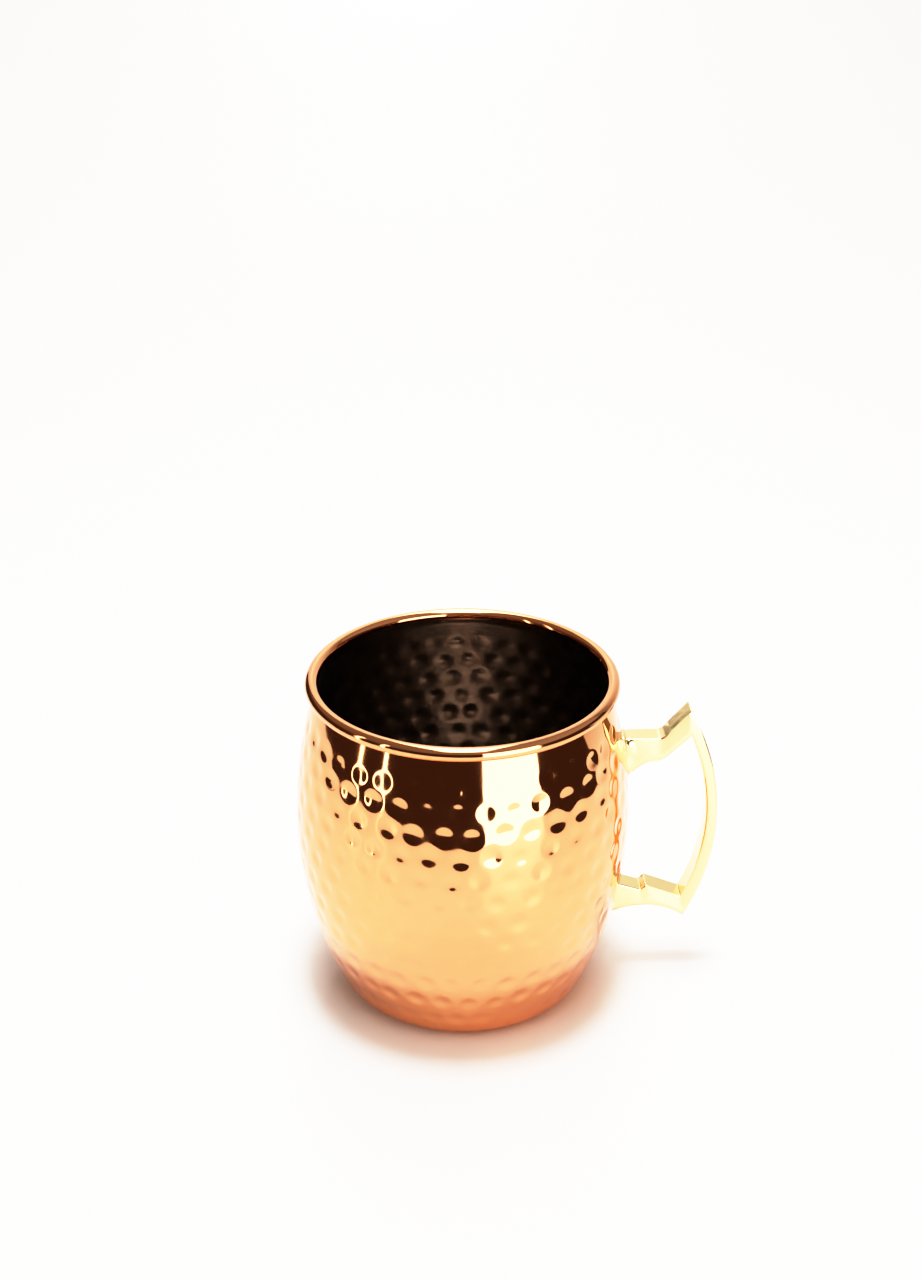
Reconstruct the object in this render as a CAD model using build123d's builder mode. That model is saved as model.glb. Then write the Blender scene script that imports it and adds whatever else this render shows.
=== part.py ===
"""Barrel-shaped hammered copper mug: a copper shell with a rolled rim, a steel liner and a brazed brass handle.

The frame has +Z up, along the mug's own axis, with z = 0 on the surface that the mug stands on.
The handle stands out along +X. All sizes are in millimetres.
"""

from build123d import *
from math import atan2, cos, degrees, radians, sin, sqrt
import os

# Overall sizes of the vessel
MUG_HEIGHT = 100.0  # from the surface it stands on to the top of the rolled rim
RIM_DIAMETER = 90.0  # over the outside of the rolled rim
BELLY_DIAMETER = 97.7  # outside, where the barrel is widest
BELLY_HEIGHT = 54.0  # how far up the widest place is

# The sheet that the wall is made of
COPPER_GAUGE = 0.5
STEEL_GAUGE = 0.3

# The rolled rim is a hollow curl of the copper, turned outwards
BEAD_DIAMETER = 3.9
CURL_GAP_ANGLE = 55.0  # degrees of the curl's circle left open between its edge and the wall

# The foot: a flat ring round a panel that is pushed up into the mug
FOOT_DIAMETER = 65.0  # outer edge of the flat ring
FOOT_CORNER_RADIUS = 6.0
PANEL_DIAMETER = 50.0  # flat part of the raised panel
PANEL_RISE = 1.2
PANEL_BEND_RADIUS = 3.0

# The handle casting, one bar shape of even width
HANDLE_WIDTH = 7.5
HANDLE_EDGE_RADIUS = 0.5
HANDLE_CORNER_RADIUS = 0.8
HANDLE_BEND_RADIUS = 3.5  # of the soft bends in the upper leg
HANDLE_REACH = 26.4  # from the belly to the outermost point of the bow
BOW_THICKNESS = 3.4
BOW_CROWN_HEIGHT = 56.0  # how far up the outermost point of the bow is

# The upper leg, with its drops measured down from the top of the mug
UPPER_LEG_DROP = 20.8  # to the level top of the leg
UPPER_FOOT_HEIGHT = 11.9  # of the end that meets the wall
UPPER_WAIST_REACH = 5.2  # from the belly out to where the underside levels off
UPPER_WAIST_DEPTH = 7.9  # of the leg there
RAMP_REACH = 9.1  # from the belly out to where the thumb ramp starts
RAMP_DEPTH = 7.7  # of the leg there
PEAK_REACH = 16.9  # from the belly out to the peak that the ramp climbs to
PEAK_DROP = 11.9
UPPER_CORNER_REACH = 17.4  # from the belly out to the inner corner between leg and bow
UPPER_CORNER_DROP = 20.6

# The lower leg, with its heights measured up from the surface that the mug stands on
LOWER_FOOT_BOTTOM = 18.0
LOWER_FOOT_TOP = 29.4
ARCH_RISE = 3.2  # of the leg's arched underside, at its middle
TAIL_REACH = 18.2  # from the belly out to the corner between underside and bow
TAIL_HEIGHT = 17.2
NOTCH_REACH = 4.9  # from the belly out to the notch in the top of the leg
NOTCH_HEIGHT = 27.0
SPUR_REACH = 6.3  # from the belly out to the tip of the spur beside the notch
SPUR_HEIGHT = 28.7
LOWER_CORNER_REACH = 17.0  # from the belly out to the inner corner between leg and bow
LOWER_CORNER_HEIGHT = 24.5

# The brazed joints
BRAZE_THICKNESS = 0.3
BRAZE_MARGIN = 0.5  # how far the braze stands out round the end of a leg
BRAZE_CORNER_RADIUS = 1.2

# How far a leg is drawn on into the wall, before it is cut off to fit the barrel
OVERRUN = 4.0

belly_radius = BELLY_DIAMETER / 2
foot_radius = FOOT_DIAMETER / 2
panel_radius = PANEL_DIAMETER / 2
bead_radius = BEAD_DIAMETER / 2
bead_centre = (RIM_DIAMETER / 2 - bead_radius, MUG_HEIGHT - bead_radius)

# The arc above the belly, whose inner side runs smoothly into the rolled rim
upper_overhang = belly_radius - COPPER_GAUGE - bead_centre[0]
upper_rise = bead_centre[1] - BELLY_HEIGHT
upper_radius = COPPER_GAUGE + (upper_overhang**2 + upper_rise**2 - bead_radius**2) / (
    2 * (upper_overhang + bead_radius)
)
upper_centre = (belly_radius - upper_radius, BELLY_HEIGHT)
rim_angle = degrees(atan2(upper_rise, bead_centre[0] - upper_centre[0]))

# The arc below the belly, which runs smoothly into the foot's rounded corner
lower_overhang = belly_radius - foot_radius
lower_rise = BELLY_HEIGHT - FOOT_CORNER_RADIUS
lower_radius = (lower_overhang**2 + lower_rise**2 - FOOT_CORNER_RADIUS**2) / (
    2 * (lower_overhang - FOOT_CORNER_RADIUS)
)
lower_centre = (belly_radius - lower_radius, BELLY_HEIGHT)
foot_angle = degrees(atan2(-lower_rise, foot_radius - lower_centre[0]))

# The two bends between the raised panel and the foot ring are alike, and meet half way
panel_run = sqrt(4 * PANEL_BEND_RADIUS * PANEL_RISE - PANEL_RISE**2)
panel_angle = degrees(atan2(panel_run, 2 * PANEL_BEND_RADIUS - PANEL_RISE))

# Heights that the handle and the braze share
upper_foot_top = MUG_HEIGHT - UPPER_LEG_DROP
upper_foot_bottom = upper_foot_top - UPPER_FOOT_HEIGHT


def on_circle(centre, radius, angle):
    """The point at that angle, in degrees, on a circle."""
    return (centre[0] + radius * cos(radians(angle)), centre[1] + radius * sin(radians(angle)))


def wall_radius(height):
    """Outer radius of the barrel at a height between the foot's corner and the rim."""
    centre, radius = (upper_centre, upper_radius) if height > BELLY_HEIGHT else (lower_centre, lower_radius)
    return centre[0] + sqrt(radius**2 - (height - centre[1]) ** 2)


def draw_wall(inset):
    """Draws one face of the wall, from the axis out under the mug and up to the rim, that far inside its outer face."""
    Line((0, PANEL_RISE + inset), (panel_radius, PANEL_RISE + inset))
    CenterArc((panel_radius, PANEL_RISE - PANEL_BEND_RADIUS), PANEL_BEND_RADIUS + inset, 90, -panel_angle)
    CenterArc(
        (panel_radius + panel_run, PANEL_BEND_RADIUS), PANEL_BEND_RADIUS - inset, -90 - panel_angle, panel_angle
    )
    Line((panel_radius + panel_run, inset), (foot_radius, inset))
    CenterArc((foot_radius, FOOT_CORNER_RADIUS), FOOT_CORNER_RADIUS - inset, -90, 90 + foot_angle)
    CenterArc(lower_centre, lower_radius - inset, foot_angle, -foot_angle)
    CenterArc(upper_centre, upper_radius - inset, 0, rim_angle)


# --- Copper shell: base, barrel wall and the curl of the rolled rim, in one sheet ---
curl_start = 180 + rim_angle
curl_end = curl_start + CURL_GAP_ANGLE
curl_turn = 360 - CURL_GAP_ANGLE
hollow_radius = bead_radius - COPPER_GAUGE
with BuildPart() as copper_shell:
    with BuildSketch(Plane.XZ):
        with BuildLine():
            draw_wall(inset=0)
            CenterArc(bead_centre, hollow_radius, curl_start, -curl_turn)
            Line(on_circle(bead_centre, hollow_radius, curl_end), on_circle(bead_centre, bead_radius, curl_end))
            CenterArc(bead_centre, bead_radius, curl_end, curl_turn)
            draw_wall(inset=COPPER_GAUGE)
            Line((0, PANEL_RISE), (0, PANEL_RISE + COPPER_GAUGE))
        make_face()
    revolve(axis=Axis.Z)

# --- Steel liner: it lies against the copper all over, and stops where the rim starts to turn ---
wall_thickness = COPPER_GAUGE + STEEL_GAUGE
with BuildPart() as steel_liner:
    with BuildSketch(Plane.XZ):
        with BuildLine():
            draw_wall(inset=COPPER_GAUGE)
            Line(
                on_circle(upper_centre, upper_radius - COPPER_GAUGE, rim_angle),
                on_circle(upper_centre, upper_radius - wall_thickness, rim_angle),
            )
            draw_wall(inset=wall_thickness)
            Line((0, PANEL_RISE + COPPER_GAUGE), (0, PANEL_RISE + wall_thickness))
        make_face()
    revolve(axis=Axis.Z)

# --- The filled-in barrel, and the same one braze's thickness larger, for fitting the handle to the wall ---
with BuildPart() as barrel:
    with BuildSketch(Plane.XZ):
        with BuildLine():
            draw_wall(inset=0)
            Polyline(
                on_circle(upper_centre, upper_radius, rim_angle),
                (0, on_circle(upper_centre, upper_radius, rim_angle)[1]),
                (0, PANEL_RISE),
            )
        make_face()
    revolve(axis=Axis.Z)

with BuildPart() as brazed_barrel:
    add(barrel)
    offset(amount=BRAZE_THICKNESS)

# --- Handle: a flat brass casting, cut off a braze's thickness short of the wall ---
leg_inside = wall_radius(LOWER_FOOT_BOTTOM) - OVERRUN
bow_crown = belly_radius + HANDLE_REACH
ramp_start = (belly_radius + RAMP_REACH, upper_foot_top)
under_ramp = (belly_radius + RAMP_REACH, upper_foot_top - RAMP_DEPTH)
upper_waist = (belly_radius + UPPER_WAIST_REACH, upper_foot_top - UPPER_WAIST_DEPTH)
peak = (belly_radius + PEAK_REACH, MUG_HEIGHT - PEAK_DROP)
tail = (belly_radius + TAIL_REACH, TAIL_HEIGHT)
upper_corner = (belly_radius + UPPER_CORNER_REACH, MUG_HEIGHT - UPPER_CORNER_DROP)
lower_corner = (belly_radius + LOWER_CORNER_REACH, LOWER_CORNER_HEIGHT)
notch = (belly_radius + NOTCH_REACH, NOTCH_HEIGHT)
spur = (belly_radius + SPUR_REACH, SPUR_HEIGHT)
arch_foot = (wall_radius(LOWER_FOOT_BOTTOM), LOWER_FOOT_BOTTOM)
arch_crown = ((arch_foot[0] + tail[0]) / 2, LOWER_FOOT_BOTTOM + ARCH_RISE)
with BuildPart() as handle:
    with BuildSketch(Plane.XZ) as side_view:
        with BuildLine():
            Polyline((leg_inside, upper_foot_top), ramp_start, peak)
            ThreePointArc(peak, (bow_crown, BOW_CROWN_HEIGHT), tail)
            ThreePointArc(tail, arch_crown, arch_foot)
            Polyline(
                arch_foot,
                (leg_inside, LOWER_FOOT_BOTTOM),
                (leg_inside, LOWER_FOOT_TOP),
                (wall_radius(LOWER_FOOT_TOP), LOWER_FOOT_TOP),
                notch,
                spur,
                lower_corner,
            )
            ThreePointArc(lower_corner, (bow_crown - BOW_THICKNESS, BOW_CROWN_HEIGHT), upper_corner)
            Polyline(
                upper_corner,
                under_ramp,
                upper_waist,
                (wall_radius(upper_foot_bottom), upper_foot_bottom),
                (leg_inside, upper_foot_bottom),
                (leg_inside, upper_foot_top),
            )
        make_face()
        for bend in (ramp_start, under_ramp, upper_waist):
            fillet(side_view.vertices().sort_by_distance(bend)[0], HANDLE_BEND_RADIUS)
        for corner in (peak, tail, notch, spur, lower_corner, upper_corner):
            fillet(side_view.vertices().sort_by_distance(corner)[0], HANDLE_CORNER_RADIUS)
    extrude(amount=HANDLE_WIDTH / 2, both=True)
    fillet(handle.faces().filter_by(Axis.Y).edges(), HANDLE_EDGE_RADIUS)
    add(brazed_barrel, mode=Mode.SUBTRACT)

# --- Braze: one thin pad between each leg and the wall, curved to the barrel ---
braze_width = HANDLE_WIDTH + 2 * BRAZE_MARGIN
with BuildPart() as upper_braze:
    with BuildSketch(Plane.YZ):
        with Locations((0, (upper_foot_top + upper_foot_bottom) / 2)):
            RectangleRounded(braze_width, UPPER_FOOT_HEIGHT + 2 * BRAZE_MARGIN, BRAZE_CORNER_RADIUS)
    extrude(amount=BELLY_DIAMETER)
    add(brazed_barrel, mode=Mode.INTERSECT)
    add(barrel, mode=Mode.SUBTRACT)

with BuildPart() as lower_braze:
    with BuildSketch(Plane.YZ):
        with Locations((0, (LOWER_FOOT_TOP + LOWER_FOOT_BOTTOM) / 2)):
            RectangleRounded(
                braze_width, LOWER_FOOT_TOP - LOWER_FOOT_BOTTOM + 2 * BRAZE_MARGIN, BRAZE_CORNER_RADIUS
            )
    extrude(amount=BELLY_DIAMETER)
    add(brazed_barrel, mode=Mode.INTERSECT)
    add(barrel, mode=Mode.SUBTRACT)

# --- Label and write each piece ---
copper_shell.part.label = "copper_shell"
steel_liner.part.label = "steel_liner"
handle.part.label = "handle"
upper_braze.part.label = "upper_braze"
lower_braze.part.label = "lower_braze"

os.makedirs("parts", exist_ok=True)
export_step(copper_shell.part, "parts/copper_shell.step")
export_step(steel_liner.part, "parts/steel_liner.step")
export_step(handle.part, "parts/handle.step")
export_step(upper_braze.part, "parts/upper_braze.step")
export_step(lower_braze.part, "parts/lower_braze.step")
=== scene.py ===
"""The looks of a hammered copper mug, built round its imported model. Everything is in metres, with +Z up.

The mug's axis is the Z axis, it stands on z = 0, and its handle stands out along +X.
"""

import random
from math import atan2, ceil, cos, degrees, exp, hypot, pi, radians, sin, sqrt, tan

import bpy
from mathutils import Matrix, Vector
from mathutils.kdtree import KDTree


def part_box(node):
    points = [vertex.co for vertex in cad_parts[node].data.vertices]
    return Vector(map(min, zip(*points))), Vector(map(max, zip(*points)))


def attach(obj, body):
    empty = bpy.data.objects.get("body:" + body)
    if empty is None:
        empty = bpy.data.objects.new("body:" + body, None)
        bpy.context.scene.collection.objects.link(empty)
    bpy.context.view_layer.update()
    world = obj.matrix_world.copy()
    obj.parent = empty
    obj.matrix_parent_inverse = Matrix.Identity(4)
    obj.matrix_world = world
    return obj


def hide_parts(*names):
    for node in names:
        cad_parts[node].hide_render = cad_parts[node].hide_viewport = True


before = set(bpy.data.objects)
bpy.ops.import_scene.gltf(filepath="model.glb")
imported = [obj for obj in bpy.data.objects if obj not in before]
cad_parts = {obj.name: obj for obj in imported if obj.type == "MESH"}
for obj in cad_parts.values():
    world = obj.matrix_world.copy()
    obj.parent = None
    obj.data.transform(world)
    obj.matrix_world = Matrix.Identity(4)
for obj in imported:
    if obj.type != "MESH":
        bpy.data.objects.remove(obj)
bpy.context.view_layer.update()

MM = 0.001

# --- The mug's own sizes ---
shell_low, shell_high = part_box("copper_shell")
MUG_HEIGHT = shell_high.z
BELLY_RADIUS = shell_high.y
BELLY_HEIGHT = 54.0 * MM
RIM_RADIUS = 45.0 * MM
COPPER_GAUGE = 0.5 * MM
WALL_THICKNESS = 0.8 * MM  # copper and steel together
LIP_TAPER = 0.8  # degrees of the wall's curve, over which the liner thins out under the rim
BEAD_RADIUS = 1.95 * MM
CURL_GAP = 55.0  # degrees of the rim's curl left open
FOOT_RADIUS = 32.5 * MM
FOOT_CORNER = 6.0 * MM
PANEL_RADIUS = 25.0 * MM
PANEL_RISE = 1.2 * MM
PANEL_BEND = 3.0 * MM

# --- The hammer marks: shallow round dents, in rows that drift apart towards the base ---
MARK_ROWS = 12
MARKS_PER_ROW = 36
TOP_ROW = 87.6 * MM
ROW_PITCH = 6.3 * MM  # under the first row
PITCH_GROWTH = 0.08 * MM
ROW_SHIFT = 0.6  # of the space between two marks, from each row to the next
MARK_DEPTH = 0.31 * MM
MARK_DEPTH_SPREAD = 0.07 * MM
MARK_RADIUS = 3.5 * MM
MARK_WANDER = 0.85 * MM
LINER_SHARE = 0.85  # of a mark's depth that shows on the liner

# --- The handle, whose section is flat on top, bulges at its sides and is round underneath ---
handle_low, handle_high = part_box("handle")
HALF_WIDTH = handle_high.y
TOP_HALF_WIDTH = 3.25 * MM
UNDER_HALF_WIDTH = 2.7 * MM  # of the flat that is left underneath
WIDEST = 0.72  # share of the depth, from the top down, at which it is widest
SECTION_ROWS = 10
HANDLE_SINK = 0.35 * MM  # how far its feet reach into the wall
HANDLE_EDGE = 0.35 * MM
SOFT_BEND = 1.5 * MM

COLUMNS = 448  # round the mug
ROW_STEP = 0.64 * MM  # between the rings of the hammered wall

bead_centre = (RIM_RADIUS - BEAD_RADIUS, MUG_HEIGHT - BEAD_RADIUS)
hollow_radius = BEAD_RADIUS - COPPER_GAUGE
overhang = BELLY_RADIUS - COPPER_GAUGE - bead_centre[0]
rise = bead_centre[1] - BELLY_HEIGHT
upper_radius = COPPER_GAUGE + (overhang**2 + rise**2 - BEAD_RADIUS**2) / (2 * (overhang + BEAD_RADIUS))
upper_centre = (BELLY_RADIUS - upper_radius, BELLY_HEIGHT)
rim_angle = degrees(atan2(rise, bead_centre[0] - upper_centre[0]))
undercut = BELLY_RADIUS - FOOT_RADIUS
drop = BELLY_HEIGHT - FOOT_CORNER
lower_radius = (undercut**2 + drop**2 - FOOT_CORNER**2) / (2 * (undercut - FOOT_CORNER))
lower_centre = (BELLY_RADIUS - lower_radius, BELLY_HEIGHT)
foot_angle = degrees(atan2(drop, FOOT_RADIUS - lower_centre[0]))
panel_run = sqrt(4 * PANEL_BEND * PANEL_RISE - PANEL_RISE**2)
panel_angle = degrees(atan2(panel_run, 2 * PANEL_BEND - PANEL_RISE))


def wall_radius(height):
    """Outer radius of the barrel, before it is hammered."""
    centre, radius = (upper_centre, upper_radius) if height > BELLY_HEIGHT else (lower_centre, lower_radius)
    return centre[0] + sqrt(max(radius**2 - (height - centre[1]) ** 2, 0.0))


# --- Drawing an outline in edit mode, in the XZ plane ---
pen = [0.0, 0.0]


def start_outline(name, x, z):
    """Opens a new piece in edit mode, as a single point."""
    bpy.ops.object.select_all(action="DESELECT")
    bpy.ops.mesh.primitive_plane_add(size=MM, location=(x, 0, z))
    piece = bpy.context.object
    piece.name = piece.data.name = name
    bpy.ops.object.transform_apply(location=True)
    bpy.ops.object.mode_set(mode="EDIT")
    bpy.ops.mesh.merge(type="CENTER")
    pen[:] = x, z
    return piece


def line_to(x, z, steps=1):
    """Extrudes the last point in a straight line."""
    move = ((x - pen[0]) / steps, 0, (z - pen[1]) / steps)
    for _ in range(steps):
        bpy.ops.mesh.extrude_vertices_move(TRANSFORM_OT_translate={"value": move})
    pen[:] = x, z


def arc(centre, angle, steps):
    """Spins the last point round a centre, by an angle in degrees from +X towards +Z."""
    turn = radians(angle)
    bpy.ops.mesh.spin(steps=steps, angle=turn, center=(centre[0], 0, centre[1]), axis=(0, 1, 0))
    x, z = pen[0] - centre[0], pen[1] - centre[1]
    pen[:] = centre[0] + x * cos(turn) - z * sin(turn), centre[1] + x * sin(turn) + z * cos(turn)


def arc_through(middle, end, steps):
    """Spins the last point along the circle that passes through two more points."""
    (ax, az), (bx, bz), (cx, cz) = pen, middle, end
    cross = 2 * (ax * (bz - cz) + bx * (cz - az) + cx * (az - bz))
    a2, b2, c2 = ax * ax + az * az, bx * bx + bz * bz, cx * cx + cz * cz
    centre = (
        (a2 * (bz - cz) + b2 * (cz - az) + c2 * (az - bz)) / cross,
        (a2 * (cx - bx) + b2 * (ax - cx) + c2 * (bx - ax)) / cross,
    )
    turn = atan2(cz - centre[1], cx - centre[0]) - atan2(az - centre[1], ax - centre[0])
    turn = (turn + pi) % (2 * pi) - pi
    arc(centre, degrees(turn), steps)


def draw_wall(inset, step):
    """Draws one face of the wall from the axis, under the foot and up to the rim."""
    line_to(PANEL_RADIUS, PANEL_RISE + inset, steps=4)
    arc((PANEL_RADIUS, PANEL_RISE - PANEL_BEND), -panel_angle, 4)
    arc((PANEL_RADIUS + panel_run, PANEL_BEND), panel_angle, 4)
    line_to(FOOT_RADIUS, inset)
    arc((FOOT_RADIUS, FOOT_CORNER), 90 - foot_angle, 8)
    arc(lower_centre, foot_angle, ceil(radians(foot_angle) * lower_radius / step))
    arc(upper_centre, rim_angle, ceil(radians(rim_angle) * upper_radius / step))


def draw_wall_back(from_angle, step):
    """Draws one face of the wall the other way, from the rim down to the foot and in to the axis."""
    arc(upper_centre, -from_angle, ceil(radians(from_angle) * upper_radius / step))
    arc(lower_centre, -foot_angle, ceil(radians(foot_angle) * lower_radius / step))
    arc((FOOT_RADIUS, FOOT_CORNER), foot_angle - 90, 8)
    line_to(PANEL_RADIUS + panel_run, pen[1])
    arc((PANEL_RADIUS + panel_run, PANEL_BEND), -panel_angle, 4)
    arc((PANEL_RADIUS, PANEL_RISE - PANEL_BEND), panel_angle, 4)
    line_to(0, pen[1], steps=4)


def spin_round():
    """Turns the outline into a closed shell round the mug's axis."""
    bpy.ops.mesh.select_all(action="SELECT")
    bpy.ops.mesh.spin(steps=COLUMNS, angle=2 * pi, center=(0, 0, 0), axis=(0, 0, 1))
    bpy.ops.mesh.select_all(action="SELECT")
    bpy.ops.mesh.remove_doubles(threshold=0.005 * MM)
    bpy.ops.mesh.normals_make_consistent(inside=False)
    bpy.ops.object.mode_set(mode="OBJECT")
    bpy.ops.object.shade_smooth_by_angle(angle=radians(35))


# --- Hammering ---
def hammer_marks():
    """Where each hammer blow fell on the wall, how deep it went and how wide it is."""
    chance = random.Random(7)
    marks = []
    for row in range(MARK_ROWS):
        height = TOP_ROW - row * (ROW_PITCH + PITCH_GROWTH * row)
        for column in range(MARKS_PER_ROW):
            angle = 2 * pi * (column + ROW_SHIFT * row) / MARKS_PER_ROW - pi / 2
            angle += chance.uniform(-1, 1) * MARK_WANDER / BELLY_RADIUS
            place = height + chance.uniform(-0.8, 0.8) * MARK_WANDER
            radius = wall_radius(place)
            depth = MARK_DEPTH + chance.uniform(-1, 1) * MARK_DEPTH_SPREAD
            width = MARK_RADIUS * chance.uniform(0.9, 1.1)
            marks.append((Vector((radius * cos(angle), radius * sin(angle), place)), depth, width))
    return marks


def hammer(piece, marks, inset, outwards):
    """Weights the points of one face of a shell by how deep the blows drove them, and displaces them."""
    tree = KDTree(len(marks))
    for number, (place, depth, width) in enumerate(marks):
        tree.insert(place, number)
    tree.balance()
    deepest = MARK_DEPTH + MARK_DEPTH_SPREAD
    reach = 1.1 * MARK_RADIUS
    lowest = marks[-1][0].z - 2 * MARK_RADIUS
    dents = piece.vertex_groups.new(name="dents")
    for vertex in piece.data.vertices:
        x, y, z = vertex.co
        across = hypot(x, y)
        if z < lowest or z > TOP_ROW + 2 * MARK_RADIUS or across < FOOT_RADIUS:
            continue
        outer = wall_radius(z)
        if abs(across - outer + inset) > 0.15 * MM:
            continue
        spot = Vector((x * outer / across, y * outer / across, z))
        pushed = 0.0
        for place, number, distance in tree.find_range(spot, reach):
            depth, width = marks[number][1:]
            pushed = max(pushed, depth * max(1 - (distance / width) ** 2, 0.0) ** 2)
        if pushed > 0:
            dents.add([vertex.index], pushed / deepest, "REPLACE")
    push = piece.modifiers.new("hammer", "DISPLACE")
    push.vertex_group = dents.name
    push.direction = "NORMAL"
    push.mid_level = 0.0
    push.strength = LINER_SHARE * deepest if outwards else -deepest
    bpy.context.view_layer.objects.active = piece
    bpy.ops.object.modifier_apply(modifier=push.name)


# --- Pieces ---
def make_copper_shell(marks):
    """Base, barrel wall and the hollow curl of the rim, in one hammered sheet."""
    shell = start_outline("hammered_copper_shell", 0, PANEL_RISE)
    draw_wall(inset=0, step=ROW_STEP)
    arc(bead_centre, CURL_GAP - 360, 8)
    out = radians(180 + rim_angle + CURL_GAP)
    line_to(bead_centre[0] + BEAD_RADIUS * cos(out), bead_centre[1] + BEAD_RADIUS * sin(out))
    arc(bead_centre, 360 - CURL_GAP, 20)
    draw_wall_back(rim_angle, step=12 * MM)
    spin_round()
    hammer(shell, marks, inset=0, outwards=False)
    return shell


def make_steel_liner(marks):
    """The lining, with the back of every hammer mark standing up on its inner face."""
    liner = start_outline("hammered_steel_liner", 0, PANEL_RISE + COPPER_GAUGE)
    draw_wall(inset=COPPER_GAUGE, step=12 * MM)
    lip = radians(rim_angle - LIP_TAPER)
    reach = upper_radius - WALL_THICKNESS
    line_to(upper_centre[0] + reach * cos(lip), upper_centre[1] + reach * sin(lip), steps=3)
    draw_wall_back(rim_angle - LIP_TAPER, step=ROW_STEP)
    spin_round()
    hammer(liner, marks, inset=WALL_THICKNESS, outwards=True)
    return liner


def lift_pen(x, z):
    """Starts a second line in the piece that is being drawn."""
    bpy.ops.mesh.select_all(action="DESELECT")
    bpy.ops.mesh.primitive_plane_add(size=MM, location=(x, 0, z))
    bpy.ops.mesh.merge(type="CENTER")
    pen[:] = x, z


def turn_at(corner, towards, steps_before, steps):
    """Draws up to a corner and round it in a soft bend."""
    arriving = atan2(corner[1] - pen[1], corner[0] - pen[0])
    turn = atan2(towards[1] - corner[1], towards[0] - corner[0]) - arriving
    bend_radius = SOFT_BEND / tan(abs(turn) / 2)
    side = 1 if turn > 0 else -1
    line_to(corner[0] - SOFT_BEND * cos(arriving), corner[1] - SOFT_BEND * sin(arriving), steps_before)
    centre = (pen[0] - side * bend_radius * sin(arriving), pen[1] + side * bend_radius * cos(arriving))
    arc(centre, degrees(turn), steps)


def make_handle():
    """The brass casting: its outer and inner lines drawn station by station, bridged, widened and mirrored."""
    top, foot_bottom = MUG_HEIGHT - 20.8 * MM, MUG_HEIGHT - 32.7 * MM
    low_top, low_bottom = 29.4 * MM, 18.0 * MM
    crown_height = 56 * MM

    def out(reach, height):
        return (BELLY_RADIUS + reach * MM, height)

    ramp_start, peak = out(9.1, top), out(16.9, MUG_HEIGHT - 11.9 * MM)
    tail, crown = out(18.2, 17.2 * MM), out(26.4, crown_height)
    notch, spur = out(4.9, 27.0 * MM), out(6.3, 28.7 * MM)
    lower_corner, upper_corner = out(17.0, 24.5 * MM), out(17.4, MUG_HEIGHT - 20.6 * MM)
    under_ramp, waist = out(9.1, top - 7.7 * MM), out(5.2, top - 7.9 * MM)
    arch = ((wall_radius(low_bottom) + tail[0]) / 2, low_bottom + 3.2 * MM)

    handle = start_outline("brass_handle", wall_radius(top) - HANDLE_SINK, top)
    line_to(*out(5.2, top), steps=10)
    turn_at(ramp_start, peak, 2, 6)
    line_to(*peak, steps=6)
    arc_through(crown, tail, 44)
    arc_through(arch, (wall_radius(low_bottom), low_bottom), 20)
    line_to(wall_radius(low_bottom) - HANDLE_SINK, low_bottom)

    lift_pen(wall_radius(foot_bottom) - HANDLE_SINK, foot_bottom)
    turn_at(waist, under_ramp, 4, 6)
    turn_at(under_ramp, upper_corner, 2, 6)
    line_to(*upper_corner, steps=6)
    arc_through(out(26.4 - 3.4, crown_height), lower_corner, 44)
    line_to(*spur, steps=9)
    line_to(*notch)
    line_to(wall_radius(low_top), low_top, steps=10)
    line_to(wall_radius(low_top) - HANDLE_SINK, low_top)

    bpy.ops.object.mode_set(mode="OBJECT")
    points = [vertex.co.xz for vertex in handle.data.vertices]
    outer, inner = points[: len(points) // 2], points[len(points) // 2 :]
    bpy.ops.object.mode_set(mode="EDIT")
    bpy.ops.mesh.select_all(action="SELECT")
    bpy.ops.mesh.bridge_edge_loops(number_cuts=SECTION_ROWS - 1, interpolation="LINEAR")
    bpy.ops.mesh.select_all(action="SELECT")
    bpy.ops.mesh.extrude_region_move(TRANSFORM_OT_translate={"value": (0, -HALF_WIDTH, 0)})
    drop_middle(handle)
    shape_section(handle, outer, inner)
    bend_lines = (peak, tail, notch, spur, lower_corner, upper_corner)
    soften_edges(handle, outer, inner, bend_lines)
    return handle


def drop_middle(handle):
    """Takes away the faces that the extrusion left in the mirror plane."""
    bpy.ops.mesh.select_all(action="DESELECT")
    bpy.ops.object.mode_set(mode="OBJECT")
    mesh = handle.data
    for face in mesh.polygons:
        face.select = all(abs(mesh.vertices[index].co.y) < 0.01 * MM for index in face.vertices)
    bpy.ops.object.mode_set(mode="EDIT")
    bpy.ops.mesh.delete(type="FACE")
    bpy.ops.object.mode_set(mode="OBJECT")


def place_in_section(spot, outer, inner):
    """How deep a spot lies between the outer and the inner line, and how much the outer line faces up there."""
    nearest = None
    for station in range(len(outer)):
        across = inner[station] - outer[station]
        depth = min(max((spot - outer[station]).dot(across) / across.length_squared, 0.0), 1.0)
        gap = (outer[station] + depth * across - spot).length
        if nearest is None or gap < nearest[0]:
            nearest = (gap, depth, station)
    station = min(max(nearest[2], 1), len(outer) - 2)
    along = (outer[station + 1] - outer[station - 1]).normalized()
    return nearest[1], min(max(0.5 + 0.9 * along.x, 0.0), 1.0)


def half_width(depth):
    """Half the width of the section, that share of its depth below its top."""
    if depth < WIDEST:
        return HALF_WIDTH - (HALF_WIDTH - TOP_HALF_WIDTH) * (WIDEST - depth) / WIDEST
    fall = (depth - WIDEST) / (1 - WIDEST)
    return UNDER_HALF_WIDTH + (HALF_WIDTH - UNDER_HALF_WIDTH) * max(1 - fall**2.6, 0.0) ** 0.5


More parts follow.
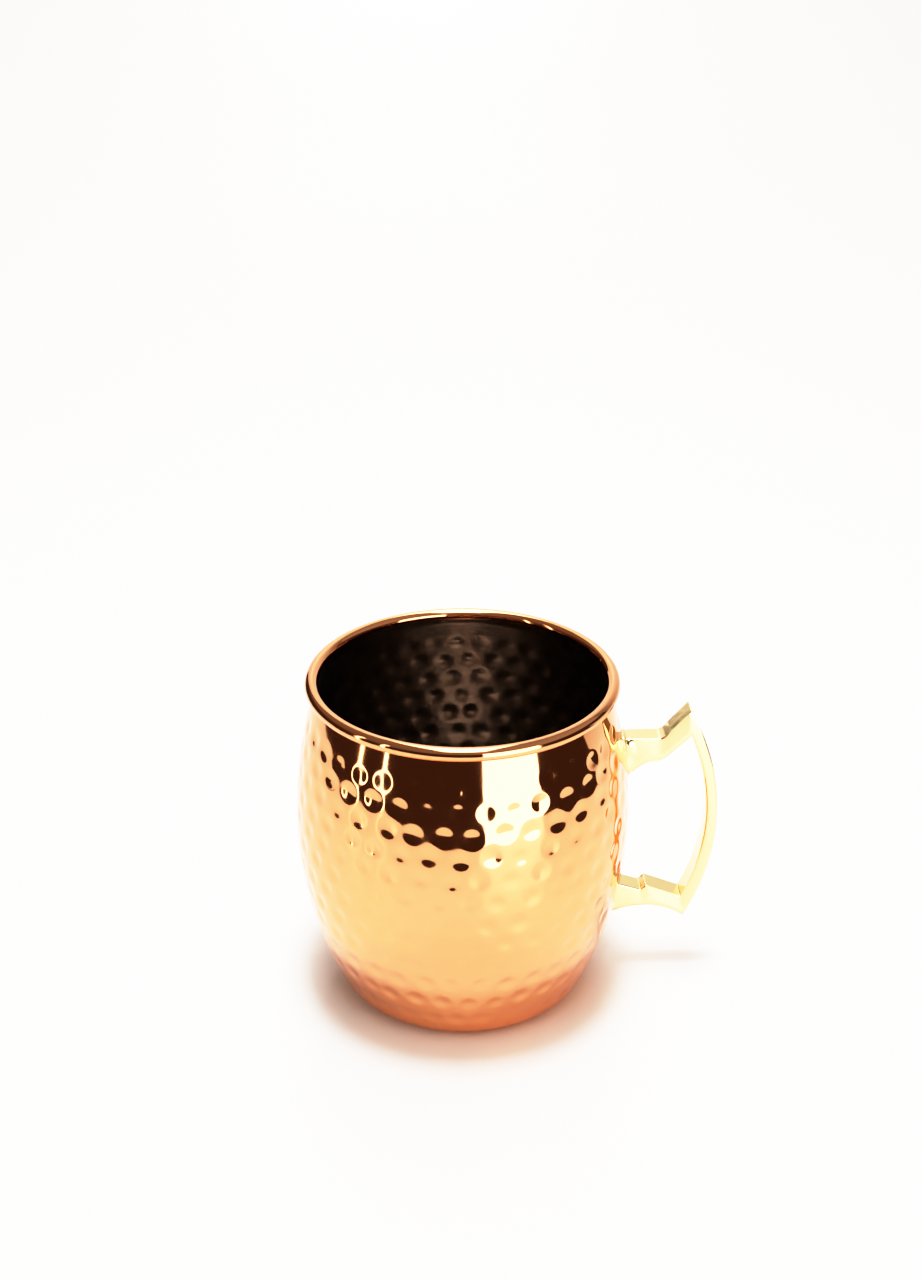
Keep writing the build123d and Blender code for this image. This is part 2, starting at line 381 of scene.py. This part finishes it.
def shape_section(handle, outer, inner):
    """Draws the side in to the section's outline, and mirrors it to the other side."""
    drawn_in = handle.vertex_groups.new(name="drawn_in")
    for vertex in handle.data.vertices:
        if vertex.co.y < -0.5 * HALF_WIDTH:
            depth, facing_up = place_in_section(vertex.co.xz, outer, inner)
            width = facing_up * half_width(depth) + (1 - facing_up) * half_width(1 - depth)
            drawn_in.add([vertex.index], 1 - width / HALF_WIDTH, "REPLACE")
    draw = handle.modifiers.new("section", "DISPLACE")
    draw.vertex_group = drawn_in.name
    draw.direction = "Y"
    draw.mid_level = 0.0
    draw.strength = HALF_WIDTH
    mirror = handle.modifiers.new("other side", "MIRROR")
    mirror.use_axis = (False, True, False)
    mirror.merge_threshold = 0.005 * MM
    bpy.context.view_layer.objects.active = handle
    bpy.ops.object.modifier_apply(modifier=draw.name)
    bpy.ops.object.modifier_apply(modifier=mirror.name)
    bpy.ops.object.mode_set(mode="EDIT")
    bpy.ops.mesh.select_all(action="SELECT")
    bpy.ops.mesh.normals_make_consistent(inside=False)
    bpy.ops.object.mode_set(mode="OBJECT")


def soften_edges(handle, outer, inner, corners):
    """Takes the sharpness off the long edges that face up and off the corners of the outline."""
    mesh = handle.data
    weights = mesh.attributes.new("bevel_weight_edge", "FLOAT", "EDGE")
    beside = {edge.key: [] for edge in mesh.edges}
    for face in mesh.polygons:
        for key in face.edge_keys:
            beside[key].append(face.normal)
    for edge in mesh.edges:
        first, second = [mesh.vertices[index].co for index in edge.vertices]
        middle = (first + second) / 2
        if middle.x < wall_radius(middle.z) or len(beside[edge.key]) < 2:
            continue
        if abs(first.y - second.y) > HALF_WIDTH:
            if any(hypot(middle.x - x, middle.z - z) < 0.05 * MM for x, z in corners):
                weights.data[edge.index].value = 1.0
            continue
        if beside[edge.key][0].dot(beside[edge.key][1]) > 0.75:
            continue
        depth, facing_up = place_in_section(middle.xz, outer, inner)
        if min(depth, 1 - depth) < 0.03 and abs(middle.y) > 1.5 * MM:
            weights.data[edge.index].value = facing_up if depth < 0.5 else 1 - facing_up
    bevel = handle.modifiers.new("edges", "BEVEL")
    bevel.limit_method = "WEIGHT"
    bevel.width = HANDLE_EDGE
    bevel.segments = 3
    bevel.use_clamp_overlap = True
    level = handle.modifiers.new("even faces", "WEIGHTED_NORMAL")
    level.keep_sharp = True
    bpy.ops.object.shade_smooth_by_angle(angle=radians(42))
    bpy.ops.object.modifier_apply(modifier=bevel.name)
    bpy.ops.object.modifier_apply(modifier=level.name)


def make_braze(name, foot_bottom, foot_top):
    """The fillet of filler metal round one foot of the handle, built flat and then set against the wall."""
    bury, margin = 0.4 * MM, 0.6 * MM
    slope = atan2(wall_radius(foot_top) - wall_radius(foot_bottom), foot_top - foot_bottom)
    length = hypot(wall_radius(foot_top) - wall_radius(foot_bottom), foot_top - foot_bottom)
    half_length, half_breadth = length / 2, TOP_HALF_WIDTH + 0.1 * MM
    bpy.ops.object.select_all(action="DESELECT")
    bpy.ops.mesh.primitive_plane_add(size=2)
    braze = bpy.context.object
    braze.name = braze.data.name = name
    bpy.ops.object.mode_set(mode="EDIT")
    bpy.ops.transform.resize(value=(half_length + margin, half_breadth + margin, 1))
    bpy.ops.mesh.bevel(affect="VERTICES", offset=1.0 * MM, segments=5)
    bpy.ops.mesh.select_all(action="SELECT")
    bpy.ops.mesh.extrude_region_move(TRANSFORM_OT_translate={"value": (0, 0, bury)})
    spread = margin
    for lift, kept in ((0.08, 0.62), (0.14, 0.34), (0.22, 0.12), (0.36, -0.1)):
        bpy.ops.mesh.extrude_region_move(TRANSFORM_OT_translate={"value": (0, 0, lift * MM)})
        new = margin * kept
        shrink = ((half_length + new) / (half_length + spread), (half_breadth + new) / (half_breadth + spread), 1)
        bpy.ops.transform.resize(value=shrink)
        spread = new
    bpy.ops.mesh.select_all(action="SELECT")
    bpy.ops.mesh.normals_make_consistent(inside=False)
    bpy.ops.object.mode_set(mode="OBJECT")
    middle = (foot_top + foot_bottom) / 2
    braze.rotation_euler = (0, pi / 2 + slope, 0)
    braze.location = (wall_radius(middle) - bury, 0, middle)
    bpy.ops.object.transform_apply(location=True, rotation=True)
    bpy.ops.object.shade_smooth_by_angle(angle=radians(50))
    return braze


# --- Materials ---
def new_material(name):
    """A material with its main shader, and the piece's own coordinates."""
    material = bpy.data.materials.new(name)
    material.use_nodes = True
    nodes = material.node_tree.nodes
    place = nodes.new("ShaderNodeTexCoord")
    return material, nodes, material.node_tree.links, nodes["Principled BSDF"], place.outputs["Object"]


def add_noise(nodes, links, place, scale, detail=4.0, stretch=None):
    """Noise on the piece's own coordinates, squeezed along its axes if a stretch is given."""
    noise = nodes.new("ShaderNodeTexNoise")
    noise.inputs["Scale"].default_value = scale
    noise.inputs["Detail"].default_value = detail
    source = place
    if stretch:
        mapping = nodes.new("ShaderNodeMapping")
        mapping.inputs["Scale"].default_value = stretch
        links.new(place, mapping.inputs["Vector"])
        source = mapping.outputs["Vector"]
    links.new(source, noise.inputs["Vector"])
    return noise.outputs["Fac"]


def add_range(nodes, links, value, low, high):
    """Maps the middle of a noise value to a range."""
    spread = nodes.new("ShaderNodeMapRange")
    spread.inputs["From Min"].default_value = 0.3
    spread.inputs["From Max"].default_value = 0.7
    spread.inputs["To Min"].default_value = low
    spread.inputs["To Max"].default_value = high
    links.new(value, spread.inputs["Value"])
    return spread.outputs["Result"]


def add_mix(nodes, links, factor, first, second):
    """Mixes two colours by a noise value."""
    mix = nodes.new("ShaderNodeMix")
    mix.data_type = "RGBA"
    mix.inputs["A"].default_value = (*first, 1)
    mix.inputs["B"].default_value = (*second, 1)
    links.new(factor, mix.inputs["Factor"])
    return mix.outputs["Result"]


def add_bump(nodes, links, shader, height, distance, strength=1.0):
    """Gives the shader a fine relief."""
    bump = nodes.new("ShaderNodeBump")
    bump.inputs["Strength"].default_value = strength
    bump.inputs["Distance"].default_value = distance
    links.new(height, bump.inputs["Height"])
    links.new(bump.outputs["Normal"], shader.inputs["Normal"])


def copper_finish():
    """Bright polished copper, with faint clouding and the fine rings that polishing leaves."""
    material, nodes, links, shader, place = new_material("polished_copper")
    shader.inputs["Metallic"].default_value = 1.0
    cloud = add_noise(nodes, links, place, 45, 5)
    links.new(add_mix(nodes, links, cloud, (0.90, 0.365, 0.15), (0.88, 0.32, 0.125)), shader.inputs["Base Color"])
    smear = add_noise(nodes, links, place, 120, 6)
    links.new(add_range(nodes, links, smear, 0.035, 0.085), shader.inputs["Roughness"])
    rings = add_noise(nodes, links, place, 100, 3, stretch=(0.3, 0.3, 25))
    add_bump(nodes, links, shader, rings, 0.0008 * MM)
    return material


def steel_finish():
    """Satin steel with a warm grey cast and a turned grain; its colour is set dark to paint in the shade inside
    the mug.
    """
    material, nodes, links, shader, place = new_material("satin_steel_with_painted_shade")
    shader.inputs["Metallic"].default_value = 1.0
    cloud = add_noise(nodes, links, place, 60, 4)
    # painted shade: these steel colours are darker than bare steel, so the inside of the mug looks shaded
    links.new(add_mix(nodes, links, cloud, (0.215, 0.165, 0.13), (0.17, 0.13, 0.105)), shader.inputs["Base Color"])
    smear = add_noise(nodes, links, place, 150, 5)
    links.new(add_range(nodes, links, smear, 0.17, 0.25), shader.inputs["Roughness"])
    grain = add_noise(nodes, links, place, 150, 3, stretch=(0.3, 0.3, 30))
    add_bump(nodes, links, shader, grain, 0.002 * MM)
    return material


def brass_finish():
    """Polished pale brass, with the slight unevenness of a casting under its polish."""
    material, nodes, links, shader, place = new_material("polished_brass")
    shader.inputs["Metallic"].default_value = 1.0
    cloud = add_noise(nodes, links, place, 80, 4)
    links.new(add_mix(nodes, links, cloud, (0.96, 0.71, 0.33), (0.95, 0.66, 0.28)), shader.inputs["Base Color"])
    smear = add_noise(nodes, links, place, 300, 5)
    links.new(add_range(nodes, links, smear, 0.06, 0.14), shader.inputs["Roughness"])
    skin = add_noise(nodes, links, place, 350, 2)
    add_bump(nodes, links, shader, skin, 0.01 * MM)
    return material


def braze_finish():
    """The filler metal: brass that was melted and only wiped clean."""
    material, nodes, links, shader, place = new_material("braze_filler")
    shader.inputs["Metallic"].default_value = 1.0
    cloud = add_noise(nodes, links, place, 400, 5)
    links.new(add_mix(nodes, links, cloud, (0.97, 0.70, 0.34), (0.93, 0.60, 0.27)), shader.inputs["Base Color"])
    links.new(add_range(nodes, links, cloud, 0.15, 0.32), shader.inputs["Roughness"])
    ripple = add_noise(nodes, links, place, 900, 3)
    add_bump(nodes, links, shader, ripple, 0.03 * MM)
    return material


def dress(piece, material, node):
    """Gives a piece its finish, and sets it in the place of its node."""
    piece.data.materials.clear()
    piece.data.materials.append(material)
    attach(piece, "root")
    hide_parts(node)


marks = hammer_marks()
dress(make_copper_shell(marks), copper_finish(), "copper_shell")
dress(make_steel_liner(marks), steel_finish(), "steel_liner")
dress(make_handle(), brass_finish(), "handle")
filler = braze_finish()
dress(make_braze("upper_braze_fillet", 67.3 * MM, 79.2 * MM), filler, "upper_braze")
dress(make_braze("lower_braze_fillet", 18.0 * MM, 29.4 * MM), filler, "lower_braze")


# --- Stage: a white table top, with a white sheet behind it that curves up into a backdrop ---
def white_paper():
    """Smooth white card with a faint sheen and slightly uneven whiteness."""
    material, nodes, links, shader, place = new_material("white_card")
    cloud = add_noise(nodes, links, place, 6, 2)
    links.new(add_mix(nodes, links, cloud, (0.9, 0.885, 0.875), (0.88, 0.87, 0.865)), shader.inputs["Base Color"])
    shader.inputs["Roughness"].default_value = 0.3
    return material


def make_sheet(name, left, right, front, back, sweep, rise, material):
    """A flat sheet on z = 0 that may sweep up at its back edge."""
    sheet = start_outline(name, front, 0)
    line_to(back, 0, steps=6)
    if sweep:
        arc((back, sweep), 90, 24)
        line_to(back + sweep, rise, steps=4)
    bpy.ops.mesh.select_all(action="SELECT")
    bpy.ops.mesh.extrude_region_move(TRANSFORM_OT_translate={"value": (0, left - right, 0)})
    bpy.ops.object.mode_set(mode="OBJECT")
    sheet.location = (left, 0, 0)
    sheet.rotation_euler = (0, 0, pi / 2)
    bpy.ops.object.transform_apply(location=True, rotation=True)
    bpy.ops.object.shade_smooth()
    sheet.data.materials.append(material)


card = white_paper()
make_sheet("table_top", -0.34, 0.28, -0.26, 0.04, 0, 0, card)
make_sheet("backdrop", -0.42, 2.0, 0.04, 0.55, 0.35, 1.3, card)


# --- Light ---
def add_light(name, at, towards, size, strength, colour=(1, 1, 1)):
    """A flat soft light of a given brightness."""
    light = bpy.data.lights.new(name, "AREA")
    light.shape = "RECTANGLE"
    light.size, light.size_y = size
    light.energy = strength * pi * size[0] * size[1]
    light.color = colour
    lamp = bpy.data.objects.new(name, light)
    bpy.context.scene.collection.objects.link(lamp)
    lamp.location = at
    lamp.rotation_euler = (Vector(towards) - Vector(at)).to_track_quat("-Z", "Y").to_euler()
    return lamp


def around(azimuth, distance, height):
    """A place round the mug, by its angle from straight in front, positive to the right."""
    return (distance * sin(radians(azimuth)), -distance * cos(radians(azimuth)), height)


add_light("key", (0, 0, 1.2), (0, 0, 0), (0.22, 0.22), 95.0, (0.98, 1.0, 1.0))
add_light("overhead", (0, 0.2, 1.25), (0, 0.2, 0), (0.45, 1.6), 9.8, (1.0, 0.91, 0.82))
add_light("window", around(31, 0.75, 0.055), (0, 0, 0.055), (0.53, 0.81), 7.5).visible_diffuse = False
add_light("left tube", around(-76, 1.0, 0.2), (0, 0, 0.1), (0.05, 0.9), 9.0, (1.0, 0.93, 0.8))
add_light("front left tube", around(-56, 1.0, 0.2), (0, 0, 0.1), (0.05, 0.9), 9.0, (1.0, 0.93, 0.8))


def make_room():
    """The room round the table: dark below, with a pale ceiling that is brighter on the right."""
    world = bpy.data.worlds.new("room")
    bpy.context.scene.world = world
    world.use_nodes = True
    nodes, links = world.node_tree.nodes, world.node_tree.links
    place = nodes.new("ShaderNodeTexCoord")
    split = nodes.new("ShaderNodeSeparateXYZ")
    links.new(place.outputs["Generated"], split.inputs["Vector"])
    across = nodes.new("ShaderNodeMapRange")
    across.inputs["From Min"].default_value = -1.0
    links.new(split.outputs["X"], across.inputs["Value"])
    ceiling = nodes.new("ShaderNodeMix")
    ceiling.data_type = "RGBA"
    ceiling.inputs["A"].default_value = (0.15, 0.105, 0.08, 1)
    ceiling.inputs["B"].default_value = (0.45, 0.44, 0.43, 1)
    links.new(across.outputs["Result"], ceiling.inputs["Factor"])
    ramp = nodes.new("ShaderNodeMapRange")
    ramp.inputs["From Min"].default_value = 0.33
    ramp.inputs["From Max"].default_value = 0.44
    links.new(split.outputs["Z"], ramp.inputs["Value"])
    room = nodes.new("ShaderNodeMix")
    room.data_type = "RGBA"
    room.inputs["A"].default_value = (0.045, 0.026, 0.021, 1)
    links.new(ramp.outputs["Result"], room.inputs["Factor"])
    links.new(ceiling.outputs["Result"], room.inputs["B"])
    links.new(room.outputs["Result"], nodes["Background"].inputs["Color"])


make_room()

# --- Camera ---
CAMERA_TURN = 2.0  # degrees, which the handle is turned away by
CAMERA_DISTANCE = 449.8 * MM
camera = bpy.data.objects.new("camera", bpy.data.cameras.new("camera"))
bpy.context.scene.collection.objects.link(camera)
camera.location = around(-CAMERA_TURN, CAMERA_DISTANCE, 332.2 * MM)
camera.rotation_euler = (radians(90 - 26.24), 0, radians(-CAMERA_TURN))
camera.data.lens = 50
camera.data.sensor_width = 36
camera.data.shift_x = -0.0016
bpy.context.scene.camera = camera


def roll_off_highlights():
    """Lets the brightest whites roll off gently, as they do on film."""
    knee, brightest = 0.6, 4.0
    view = bpy.context.scene.view_settings
    view.view_transform = "Standard"
    view.use_curve_mapping = True
    view.curve_mapping.white_level = (brightest, brightest, brightest)
    points = view.curve_mapping.curves[3].points
    for level in (knee, 0.8, 1.0, 1.3, 1.7, 2.2, 2.8):
        shown = knee + (1 - knee) * (1 - exp((knee - level) / (1 - knee)))
        points.new(level / brightest, shown)
    points[0].handle_type = points[1].handle_type = "VECTOR"
    view.curve_mapping.update()


roll_off_highlights()
